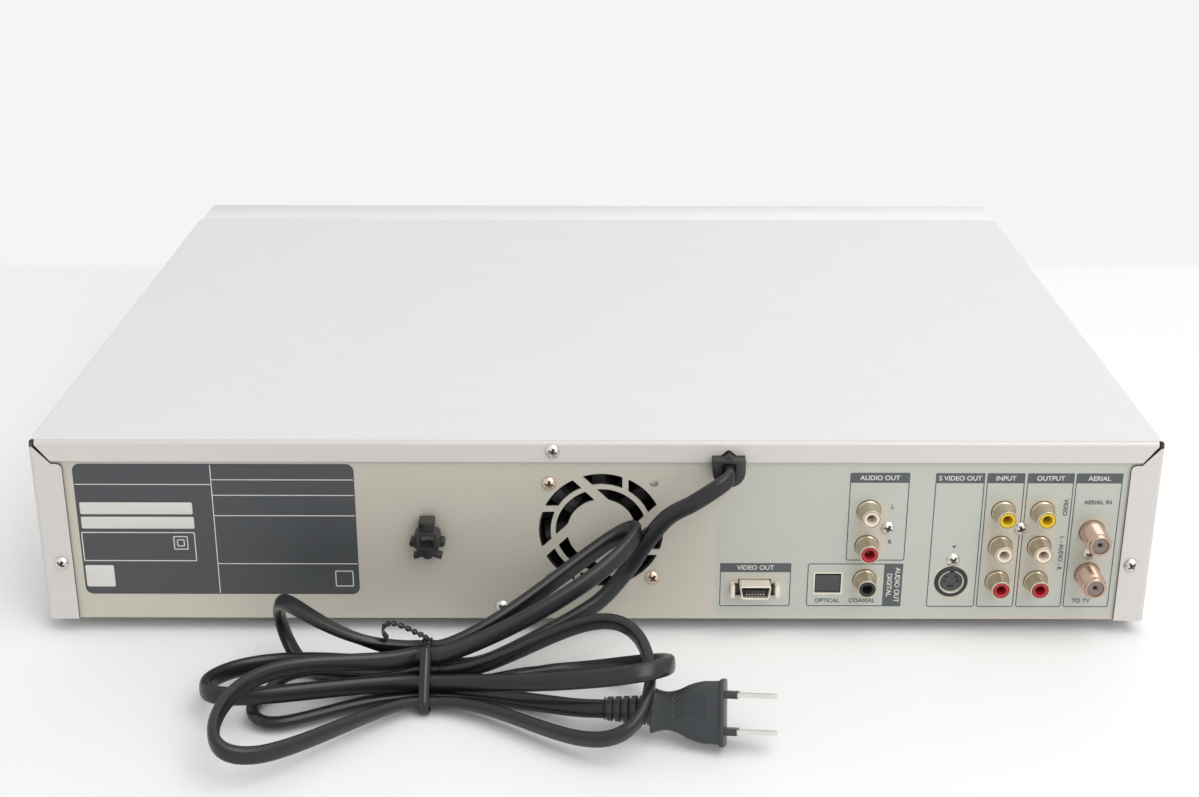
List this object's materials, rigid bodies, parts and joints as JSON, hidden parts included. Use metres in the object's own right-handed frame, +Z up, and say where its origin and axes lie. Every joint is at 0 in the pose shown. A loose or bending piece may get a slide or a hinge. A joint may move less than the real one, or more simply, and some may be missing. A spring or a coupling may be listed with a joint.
{
  "type": "dvd vcr combo player",
  "caption": "Low metal-cased disc and cassette player with a sliding tray, tape mechanism, rear phono sockets, slotted fan grille and a folded mains lead.",
  "frame": {"origin": "on the ground under the middle of the case, from button faces to aerial socket tips", "axes": "+Z up, +X to the right seen from the front, -Y out of the front panel"},
  "size_m": [0.43, 0.4445, 0.082],
  "materials": {
    "cover_paint": "satin",
    "panel_metal": "satin",
    "zinc_steel": "plated",
    "silver_plastic": "satin",
    "black_plastic": "matte",
    "grey_plastic": "matte",
    "smoked_acrylic": "polished",
    "champagne_metal": "plated",
    "white_plastic": "satin",
    "board_green": "matte",
    "bright_steel": "polished",
    "brass_yellow": "satin",
    "cord_black": "satin",
    "rubber_black": "matte"
  },
  "bodies": {
    "case": {"chassis_base": "zinc_steel", "rear_panel": "panel_metal", "top_cover": "cover_paint", "front_panel": "silver_plastic", "foot_front_left": "rubber_black", "foot_front_right": "rubber_black", "foot_rear_left": "rubber_black", "foot_rear_right": "rubber_black", "cover_screw_rear": "zinc_steel", "cover_screw_left": "zinc_steel", "cover_screw_right": "zinc_steel", "fan_screw_upper": "brass_yellow", "fan_screw_lower": "brass_yellow", "cord_bushing": "black_plastic", "wire_clip": "black_plastic", "fan_frame": "black_plastic", "coaxial_jack": "champagne_metal", "audio_out_jacks": "champagne_metal", "av_jack_block": "champagne_metal", "svideo_jack": "champagne_metal", "optical_jack": "grey_plastic", "d_terminal": "champagne_metal", "tuner_unit": "zinc_steel", "main_board": "board_green", "power_board": "board_green", "front_board": "board_green", "disc_drive_frame": "zinc_steel", "tape_deck_plate": "zinc_steel", "display_window": "smoked_acrylic", "front_input_jacks": "black_plastic", "cord_lead": "cord_black", "cord_hank": "cord_black", "cord_tail": "cord_black", "cord_tie": "cord_black", "plug_body": "black_plastic", "plug_blade_upper": "bright_steel", "plug_blade_lower": "bright_steel"},
    "fan_rotor": {"fan_rotor": "black_plastic"},
    "optical_shutter": {"optical_shutter": "black_plastic"},
    "tray": {"disc_tray": "grey_plastic", "tray_front": "silver_plastic"},
    "traverse": {"traverse_frame": "black_plastic"},
    "turntable": {"disc_turntable": "black_plastic"},
    "sled": {"laser_sled": "grey_plastic"},
    "clamp": {"disc_clamp": "white_plastic"},
    "slider": {"cassette_slider": "zinc_steel"},
    "holder": {"cassette_holder": "zinc_steel"},
    "head_drum": {"head_drum": "bright_steel"},
    "supply_reel": {"supply_reel_table": "black_plastic"},
    "takeup_reel": {"takeup_reel_table": "black_plastic"},
    "capstan": {"capstan": "bright_steel"},
    "cassette_door": {"cassette_door": "silver_plastic"},
    "input_door": {"front_input_door": "silver_plastic"},
    "power": {"power_button": "silver_plastic"},
    "cassette_eject": {"cassette_eject_button": "silver_plastic"},
    "disc_open": {"disc_open_button": "silver_plastic"},
    "rewind": {"rewind_button": "silver_plastic"},
    "play": {"play_button": "silver_plastic"},
    "stop": {"stop_button": "silver_plastic"},
    "forward": {"forward_button": "silver_plastic"}
  },
  "joints": [
    {"name": "tray_slide", "type": "slide", "parent": "case", "child": "tray", "axis": [0, -1, 0], "range_m": [0, 0.135]},
    {"name": "traverse_tilt", "type": "hinge", "parent": "case", "child": "traverse", "pos_m": [0.1363, 0.0013, 0.051], "axis": [1, 0, 0], "range_deg": [0, 6]},
    {"name": "turntable_spin", "type": "hinge", "parent": "traverse", "child": "turntable", "pos_m": [0.1363, -0.1007, 0.06], "axis": [0, 0, 1], "continuous": true},
    {"name": "sled_slide", "type": "slide", "parent": "traverse", "child": "sled", "axis": [0, 1, 0], "range_m": [0, 0.036]},
    {"name": "clamp_spin", "type": "hinge", "parent": "case", "child": "clamp", "pos_m": [0.1363, -0.1007, 0.069], "axis": [0, 0, 1], "continuous": true},
    {"name": "slider_slide", "type": "slide", "parent": "case", "child": "slider", "axis": [0, 1, 0], "range_m": [0, 0.065]},
    {"name": "holder_drop", "type": "slide", "parent": "slider", "child": "holder", "axis": [0, 0, -1], "range_m": [0, 0.018]},
    {"name": "drum_spin", "type": "hinge", "parent": "case", "child": "head_drum", "pos_m": [-0.108, 0.055, 0.03545], "axis": [0, 0.0998, 0.995], "continuous": true},
    {"name": "supply_spin", "type": "hinge", "parent": "case", "child": "supply_reel", "pos_m": [-0.154, -0.014, 0.027], "axis": [0, 0, 1], "continuous": true},
    {"name": "takeup_spin", "type": "hinge", "parent": "case", "child": "takeup_reel", "pos_m": [-0.062, -0.014, 0.027], "axis": [0, 0, 1], "continuous": true},
    {"name": "capstan_spin", "type": "hinge", "parent": "case", "child": "capstan", "pos_m": [-0.056, 0.036, 0.027], "axis": [0, 0, 1], "continuous": true},
    {"name": "fan_spin", "type": "hinge", "parent": "case", "child": "fan_rotor", "pos_m": [-0.0018, 0.152, 0.0442], "axis": [0, 1, 0], "continuous": true},
    {"name": "shutter_swing", "type": "hinge", "parent": "case", "child": "optical_shutter", "pos_m": [-0.0903, 0.1605, 0.0247], "axis": [-1, 0, 0], "range_deg": [0, 80], "stiffness_Nm_per_rad": 0.0002, "springref_deg": -17.19},
    {"name": "cassette_door_swing", "type": "hinge", "parent": "case", "child": "cassette_door", "pos_m": [-0.108, -0.1719, 0.0756], "axis": [1, 0, 0], "range_deg": [0, 88], "stiffness_Nm_per_rad": 0.003, "springref_deg": -17.19},
    {"name": "input_door_fold", "type": "hinge", "parent": "case", "child": "input_door", "pos_m": [-0.088, -0.1719, 0.015], "axis": [1, 0, 0], "range_deg": [0, 90]},
    {"name": "power_press", "type": "slide", "parent": "case", "child": "power", "axis": [0, 1, 0], "range_m": [0, 0.001], "stiffness_N_per_m": 300, "springref_m": -0.002},
    {"name": "cassette_eject_press", "type": "slide", "parent": "case", "child": "cassette_eject", "axis": [0, 1, 0], "range_m": [0, 0.001], "stiffness_N_per_m": 300, "springref_m": -0.002},
    {"name": "disc_open_press", "type": "slide", "parent": "case", "child": "disc_open", "axis": [0, 1, 0], "range_m": [0, 0.001], "stiffness_N_per_m": 300, "springref_m": -0.002},
    {"name": "rewind_press", "type": "slide", "parent": "case", "child": "rewind", "axis": [0, 1, 0], "range_m": [0, 0.001], "stiffness_N_per_m": 300, "springref_m": -0.002},
    {"name": "play_press", "type": "slide", "parent": "case", "child": "play", "axis": [0, 1, 0], "range_m": [0, 0.001], "stiffness_N_per_m": 300, "springref_m": -0.002},
    {"name": "stop_press", "type": "slide", "parent": "case", "child": "stop", "axis": [0, 1, 0], "range_m": [0, 0.001], "stiffness_N_per_m": 300, "springref_m": -0.002},
    {"name": "forward_press", "type": "slide", "parent": "case", "child": "forward", "axis": [0, 1, 0], "range_m": [0, 0.001], "stiffness_N_per_m": 300, "springref_m": -0.002}
  ]
}
